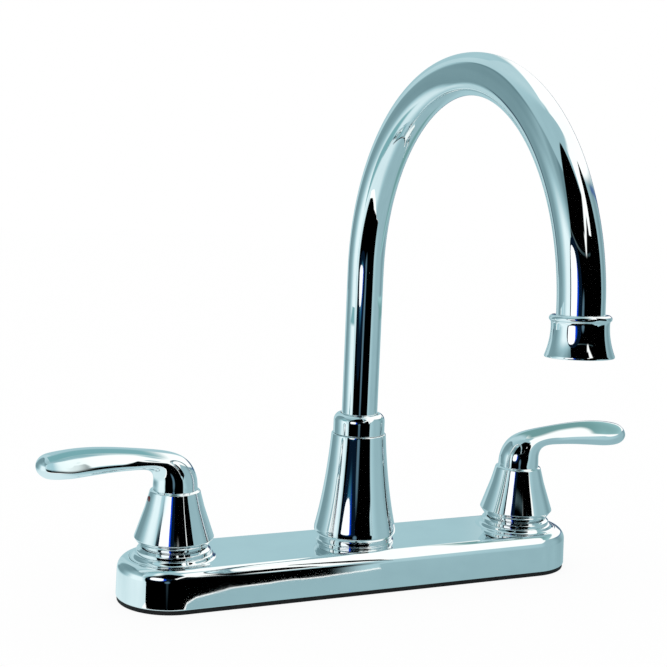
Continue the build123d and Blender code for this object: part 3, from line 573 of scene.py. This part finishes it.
sheet_smaller = 1.0
sheet_edge = 3.0
shank_hole = 10.6
sheet_line, sheet_out = racetrack(
    deck_length - sheet_smaller, deck_width - sheet_smaller, (-field_half, field_half))
sheet_side = rounded([
    (sheet_edge, 0.0, 0), (0.0, 0.0, 0.3), (0.0, gasket_thick, 0.3),
    (sheet_edge, gasket_thick, 0)], closed=False)
inset_line = sheet_line - sheet_out * sheet_edge
sheet_grids = [carried_round(sheet_line, sheet_out, sheet_side)]
for (low, high, hub), hole in zip(fields, (shank_hole, 0.0, shank_hole)):
    hole_wall = [(hole, 0.0), (hole, gasket_thick)]
    sheet_grids.append(cell(inset_line, low, high, hub, hole_wall, gasket_thick))
    sheet_grids.append(cell(inset_line, low, high, hub, hole_wall[:1], 0.0))
skin("gasket_sheet", sheet_grids, "base", rubber, "deck_gasket")


# Base rings: turned brass rings, chrome plated, that hold the cover down round each neck and
# under the bell; a rounded foot steps up to a plain band.
ring_bore = 12.5
ring_foot, ring_step, ring_band, ring_top = 18.9, 17.3, 15.4, 28.2
bell_ring_foot, bell_ring_band, bell_ring_top = 21.2, 20.3, 25.5


def turned(profile, x=0.0, count=180):
    """A closed or pole-ended profile of (radius, z) points carried once round the axis at x:
    each point r, z becomes (x + r cos t, r sin t, z)."""
    around = 2 * np.pi * np.arange(count) / count
    radius, height = profile[:, 0][:, None], profile[:, 1][:, None]
    return np.stack((x + radius * np.cos(around), radius * np.sin(around),
                     height + 0 * around), axis=-1)


def loop(profile):
    """The same profile with its first point again at its end, for a section that closes."""
    return np.concatenate((profile, profile[:1]))


sides = (("hot", -1), ("cold", 1))
ring_profile = loop(rounded([
    (ring_bore, boss_top, 0), (ring_foot, boss_top, 0.15), (ring_foot, boss_top + 1.6, 0.9),
    (ring_step, boss_top + 2.9, 0.5), (ring_band, 27.5, 0.2), (ring_band, ring_top, 0.2),
    (ring_bore, ring_top, 0)]))
for side_name, out in sides:
    skin(f"{side_name}_foot_ring", [turned(ring_profile, out * half_centres)], "base",
         chrome, f"{side_name}_base_ring")
bell_ring_profile = loop(rounded([
    (ring_bore, deck_top, 0), (bell_ring_foot, deck_top, 0.15),
    (bell_ring_foot, deck_top + 0.9, 0.5), (bell_ring_band, deck_top + 1.5, 0.3),
    (bell_ring_band, bell_ring_top, 0.2), (ring_bore, bell_ring_top, 0)]))
skin("spout_foot_ring", [turned(bell_ring_profile)], "base", chrome,
     "spout_base_ring")


# Handles: one zinc casting each, chrome plated. A hollow flared skirt rises to a small bright
# collar, and a round neck leaves it, bends outwards and flattens into a teardrop lever.
lever_stations = np.array((
    (-11.3, 56.8, 11.3, 56.8, 11.3), (-11.3, 60.0, 11.3, 60.0, 11.3),
    (-10.7, 63.8, 11.1, 62.0, 11.1), (-9.2, 67.7, 11.2, 63.8, 10.7),
    (-6.6, 71.4, 11.9, 65.6, 10.1), (-2.6, 74.4, 13.4, 67.2, 9.4),
    (3.6, 76.6, 16.0, 68.2, 8.7), (12.0, 78.0, 19.5, 68.6, 8.1),
    (22.0, 79.2, 25.0, 68.7, 7.8), (34.0, 80.4, 35.0, 68.2, 8.4),
    (46.0, 80.9, 46.0, 67.2, 9.4), (56.0, 80.2, 56.0, 66.2, 10.0)))
end_start, end_reach, end_height, end_half_height, end_half_width = 62.6, 70.3, 72.5, 6.3, 9.6
collar_radius, collar_top = 11.3, 58.0
socket_radius, socket_top, skirt_ceiling = 4.05, 59.5, 47.0
deepest_sag = 0.36


def lever_rows(count=190):
    """Back point, under point and half width along the lever: a uniform cubic B-spline whose
    point at t is four controls weighted (1-t)^3/6, (3t^3-6t^2+4)/6, (-3t^3+3t^2+3t+1)/6 and
    t^3/6. The last controls stand 30 degrees apart round half an ellipse and close its end."""
    swing = np.radians((0, 30, 60, 90, 120))
    fuller = 3 / (2 + np.cos(swing[1]))
    reach = end_start + (end_reach - end_start) * fuller * np.sin(swing)
    rise = end_half_height * fuller * np.cos(swing)
    tip = np.stack((reach, end_height + rise, reach, end_height - rise,
                    end_half_width * fuller * np.cos(swing)), axis=1)
    control = np.concatenate((lever_stations[:1], lever_stations[:1], lever_stations, tip))
    place = np.linspace(0, len(control) - 3, count)
    start = np.minimum(place.astype(int), len(control) - 4)
    t = (place - start)[:, None]
    weights = ((1 - t) ** 3, 3 * t**3 - 6 * t**2 + 4, -3 * t**3 + 3 * t**2 + 3 * t + 1, t**3)
    return sum(w * control[start + k] for k, w in enumerate(weights)) / 6


def eased(value, low, high):
    """Zero below low, one above high, and 3t^2 - 2t^3 between."""
    t = np.clip((value - low) / (high - low), 0, 1)
    return t * t * (3 - 2 * t)


def ovals(rows, x, out, count=96):
    """Each row (back u, z, under u, z, half width, sag) becomes an oval across the lever, its
    widest line moved towards the under side by sag: cos t - sag sin^2 t instead of cos t."""
    around = 2 * np.pi * np.arange(count) / count
    back, under, width, sag = rows[:, 0:2], rows[:, 2:4], rows[:, 4], rows[:, 5:6]
    middle, half = (back + under) / 2, (back - under) / 2
    drop = np.cos(around) - sag * np.sin(around) ** 2
    along = middle[:, 0:1] + half[:, 0:1] * drop
    height = middle[:, 1:2] + half[:, 1:2] * drop
    return np.stack((x + out * along, width[:, None] * np.sin(around), height), axis=-1)


skirt_profile = rounded([
    (0.0, socket_top, 0), (socket_radius, socket_top, 0), (socket_radius, skirt_ceiling, 0),
    (12.9, skirt_ceiling, 1.0), (17.9, 33.4, 0), (18.0, 32.0, 0), (15.9, 28.5, 0.2),
    (17.5, 28.5, 0.5), (20.3, 32.4, 0.5), (15.0, 48.0, 0), (12.75, 56.4, 0.9),
    (11.35, 57.0, 0.5), (collar_radius, collar_top, 0)], closed=False)
skirt_u, skirt_z = skirt_profile.T
skirt_rows = np.column_stack((-skirt_u, skirt_z, skirt_u, skirt_z, skirt_u, 0 * skirt_u))
lever_body = lever_rows()
lever_body = lever_body[lever_body[:, 1] > collar_top + 0.1]
lever_sag = deepest_sag * eased(lever_body[:, 0] + lever_body[:, 2], 8, 48)
lever_sag = lever_sag * (1 - eased(lever_body[:, 0], 52, 68))
handle_rows = np.concatenate((skirt_rows, np.column_stack((lever_body, lever_sag))))
for side_name, out in sides:
    skin(f"{side_name}_lever_handle", [ovals(handle_rows, out * half_centres, out)],
         f"{side_name}_lever", chrome, f"{side_name}_handle")


# Index plugs: small moulded buttons over the set screws, dark red for hot and dark blue for
# cold. Each is pressed into its handle's skirt, below the lever.
plug_seat, plug_rim, plug_crown = 10.2, 13.9, 14.1
plug_radius = 2.3
plug_height = 51.8


def moulded(name, colour, spot):
    """A gloss plastic with a faint moulding grain and slightly uneven colour."""
    made = bpy.data.materials.new(name)
    tree = Tree(made)
    grain = tree.noise(0.0005, 3.0, 0.6)
    cloud = tree.noise(0.004, 3.0, 0.5).step(0.3, 0.8)
    body = tree.node("ShaderNodeBsdfPrincipled", {}, {
        "Base Color": tree.mix(cloud, colour, spot), "Roughness": 0.22 + grain * 0.15,
        "Normal": tree.bump(grain, 0.00001)})
    tree.node("ShaderNodeOutputMaterial", {}, {"Surface": body[0]})
    return made


plug_paint = {"hot": moulded("plug_red", (0.10, 0.004, 0.004), (0.14, 0.008, 0.006)),
              "cold": moulded("plug_blue", (0.004, 0.008, 0.08), (0.006, 0.014, 0.12))}
plug_profile = rounded([
    (0.0, plug_seat, 0), (plug_radius, plug_seat, 0.1), (plug_radius, plug_rim, 0.6),
    (0.0, plug_crown, 0)], closed=False)
for side_name, out in sides:
    button = turned(plug_profile, count=64)
    button = np.stack((out * (half_centres + button[..., 2]), button[..., 0],
                       plug_height + button[..., 1]), axis=-1)
    skin(f"{side_name}_plug_button", [button], f"{side_name}_lever", plug_paint[side_name],
         f"{side_name}_index_plug")


# Bell: a spun brass shell, chrome plated, held down by the nut above it; its wall sweeps in
# from the rim and the profile is slightly hollow.
bell_bore = 12.8
bell_top = 81.0


def through(points, count):
    """A smooth curve through a few (radius, z) points: the polynomial in z that meets them."""
    points = np.array(points, float)
    height = np.linspace(points[0, 1], points[-1, 1], count)
    scaled = (points[:, 1] - points[0, 1]) / (points[-1, 1] - points[0, 1])
    factors = np.polyfit(scaled, points[:, 0], len(points) - 1)
    return np.stack((np.polyval(factors, np.linspace(0, 1, count)), height), axis=1)


bell_side = through([(21.9, 29.4), (18.35, 47.5), (16.4, 61.4), (14.62, 80.0)], 40)
bell_inside = through([(bell_bore, 78.0), (14.5, 61.4), (16.5, 47.5), (20.0, 29.4)], 20)
bell_foot = rounded([
    (18.6, bell_ring_top, 0), (20.5, bell_ring_top, 0.25), (21.95, 27.6, 1.0),
    (21.9, 29.3, 0)], closed=False)[:-1]
bell_head = rounded([
    (14.6, 80.2, 0), (14.5, bell_top, 0.5), (bell_bore, bell_top, 0), (bell_bore, 78.1, 0)],
    closed=False)[1:]
bell_profile = loop(np.concatenate((bell_foot, bell_side, bell_head, bell_inside)))
skin("bell_shell", [turned(bell_profile, count=240)], "base", chrome,
     "spout_bell")


# Spout nut: turned brass, chrome plated, with a rounded shoulder; the tube turns in its lip.
# Its skirt goes down inside the bell and screws on the spout post.
nut_radius = 13.7
lip_radius, lip_top = 10.1, 91.8
shoulder = np.radians(np.linspace(0, 90, 19))
nut_shoulder = np.stack((10.5 + 3.2 * np.cos(shoulder), 87.6 + 4.2 * np.sin(shoulder)), axis=1)
nut_low = rounded([
    (11.5, 70.0, 0), (12.7, 70.0, 0), (12.7, bell_top, 0), (nut_radius, bell_top, 0.45),
    (nut_radius, 87.5, 0)], closed=False)
nut_inside = rounded([
    (lip_radius, lip_top, 0.3), (lip_radius, 90.9, 0), (10.7, 90.9, 0), (10.7, 80.9, 0),
    (11.7, 80.9, 0), (11.7, 76.0, 0), (11.5, 76.0, 0)], closed=False)
nut_profile = loop(np.concatenate((nut_low, nut_shoulder, nut_inside)))
skin("nut_shell", [turned(nut_profile)], "base", chrome, "spout_nut")


# Gooseneck: one thin-walled brass tube, chrome plated, straight up out of the nut and bent
# round a near half circle before it drops into the tip.
tube_radius = 9.5
tube_wall = 1.2
tube_foot = 79.5
riser_top = 167.7
bend_radius = 98.1
bend_angle = np.radians(177.0)
outlet_straight = 3.7
tube_in_tip = 6.0


def bend_at(angle):
    """Centre point and direction of the tube, as (y, z), at angle t round its bend: the point
    is (-R (1 - cos t), top + R sin t) and the direction (-sin t, cos t)."""
    point = np.stack((-bend_radius * (1 - np.cos(angle)),
                      riser_top + bend_radius * np.sin(angle)), axis=-1)
    return point, np.stack((-np.sin(angle), np.cos(angle)), axis=-1)


def tube_line():
    """Centre points and directions in the y-z plane: up the riser, round the bend, and down."""
    rise = np.linspace(tube_foot, riser_top, 12)
    drop = np.linspace(0, outlet_straight + tube_in_tip, 4)[1:]
    bend, bend_way = bend_at(np.linspace(0, bend_angle, 160)[1:])
    bend_end, outlet_way = bend_at(bend_angle)
    centre = np.concatenate((np.stack((0 * rise, rise), axis=1), bend,
                             bend_end + drop[:, None] * outlet_way))
    way = np.concatenate((np.tile((0.0, 1.0), (len(rise), 1)), bend_way,
                          np.tile(outlet_way, (len(drop), 1))))
    return centre, way


def carried(radius, count=144):
    """A circle of the given radius carried along the tube's line, square to it: x is
    r cos t, and y, z are the centre plus r sin t across the line."""
    centre, way = tube_line()
    around = 2 * np.pi * np.arange(count) / count
    across = np.stack((way[:, 1], -way[:, 0]), axis=1)
    y = centre[:, 0:1] + radius * across[:, 0:1] * np.sin(around)
    z = centre[:, 1:2] + radius * across[:, 1:2] * np.sin(around)
    return np.stack((radius * np.cos(around) + 0 * y, y, z), axis=-1)


bore = carried(tube_radius - tube_wall)
tube_grid = np.concatenate((bore[:1], carried(tube_radius), bore[::-1]))
skin("gooseneck_tube", [tube_grid], "spout", chrome, "spout_tube")


# Tip: a turned brass collar and flared skirt brazed on the tube's end, chrome plated; a bead
# runs round its top, and the aerator screws into its mouth.
tip_length = 16.8
tip_mouth = 13.7
aerator_radius = 10.8
outlet_end, outlet_way = bend_at(bend_angle)
tip_place = outlet_end + outlet_straight * outlet_way


def at_tip(profile, count=180):
    """A (radius, distance past the collar's top) profile carried round the outlet's axis."""
    made = turned(profile, count=count)
    across = np.array((-outlet_way[1], outlet_way[0]))
    y = tip_place[0] + made[..., 1] * across[0] + made[..., 2] * outlet_way[0]
    z = tip_place[1] + made[..., 1] * across[1] + made[..., 2] * outlet_way[1]
    return np.stack((made[..., 0], y, z), axis=-1)


bead = np.radians(np.linspace(-62, 62, 17))
bead_profile = np.stack((10.95 + 1.3 * np.cos(bead), 1.5 + 1.25 * np.sin(bead)), axis=1)
flare = through([(11.4, 3.4), (11.6, 8.0), (12.45, 12.4), (tip_mouth, 16.2)], 24)
tip_collar = rounded([
    (tube_radius, tube_in_tip, 0), (tube_radius, 0.15, 0), (11.3, 0.15, 0.2), (11.5, 0.5, 0)],
    closed=False)[:-1]
tip_inside = rounded([
    (tip_mouth, 16.2, 0), (13.6, tip_length, 0.3), (12.2, tip_length, 0.3),
    (aerator_radius, tip_length - 1.2, 0), (aerator_radius, 9.0, 0), (8.3, 9.0, 0),
    (8.3, tube_in_tip, 0)], closed=False)[1:]
tip_profile = loop(np.concatenate((tip_collar, bead_profile, flare, tip_inside)))
skin("tip_skirt", [at_tip(tip_profile)], "spout", chrome, "spout_tip")


# Hidden pieces keep their CAD shapes: brass waterway and cartridges, copper tubes, ceramic
# discs, rubber rings, steel clips, plastic bushings and nuts, each in its own worked finish.
def finished(name, colour, shade, metallic, rough, rough_more, lump, grain_size, depth):
    """A finish whose colour and roughness wander with soft lumps and a fine grain."""
    made = bpy.data.materials.new(name)
    tree = Tree(made)
    lumps = tree.noise(lump, 4.0, 0.55)
    grain = tree.noise(grain_size, 3.0, 0.6)
    body = tree.node("ShaderNodeBsdfPrincipled", {}, {
        "Base Color": tree.mix(lumps.step(0.3, 0.75), colour, shade), "Metallic": metallic,
        "Roughness": rough + lumps.step(0.35, 0.8) * rough_more + grain * 0.06,
        "Normal": tree.bump(grain, depth)})
    tree.node("ShaderNodeOutputMaterial", {}, {"Surface": body[0]})
    return made


finish_of = {
    "brass_rough": finished(
        "brass", (0.62, 0.42, 0.17), (0.46, 0.30, 0.12), metallic=1.0, rough=0.26,
        rough_more=0.18, lump=0.008, grain_size=0.0004, depth=0.00002),
    "copper_tube": finished(
        "copper", (0.76, 0.36, 0.23), (0.50, 0.22, 0.15), metallic=1.0, rough=0.24,
        rough_more=0.2, lump=0.006, grain_size=0.0004, depth=0.00001),
    "ceramic_disc": finished(
        "ceramic", (0.84, 0.83, 0.78), (0.78, 0.77, 0.72), metallic=0.0, rough=0.28,
        rough_more=0.1, lump=0.004, grain_size=0.0003, depth=0.000005),
    "steel_bright": finished(
        "steel", (0.52, 0.53, 0.54), (0.40, 0.41, 0.42), metallic=1.0, rough=0.3,
        rough_more=0.15, lump=0.006, grain_size=0.0003, depth=0.00001),
    "white_plastic": finished(
        "white_nylon", (0.80, 0.80, 0.77), (0.74, 0.73, 0.69), metallic=0.0, rough=0.48,
        rough_more=0.15, lump=0.009, grain_size=0.0006, depth=0.00003),
    "grey_plastic": finished(
        "grey_acetal", (0.24, 0.25, 0.26), (0.19, 0.20, 0.21), metallic=0.0, rough=0.42,
        rough_more=0.15, lump=0.005, grain_size=0.0005, depth=0.00002),
    "black_rubber": rubber, "chrome_plate": chrome,
    "plug_red": plug_paint["hot"], "plug_blue": plug_paint["cold"]}
for row in frame["record"]["subparts"]:
    node = frame["nodes"][row["node"]]
    node.data.materials.clear()
    node.data.materials.append(finish_of[row["material_slot"]])
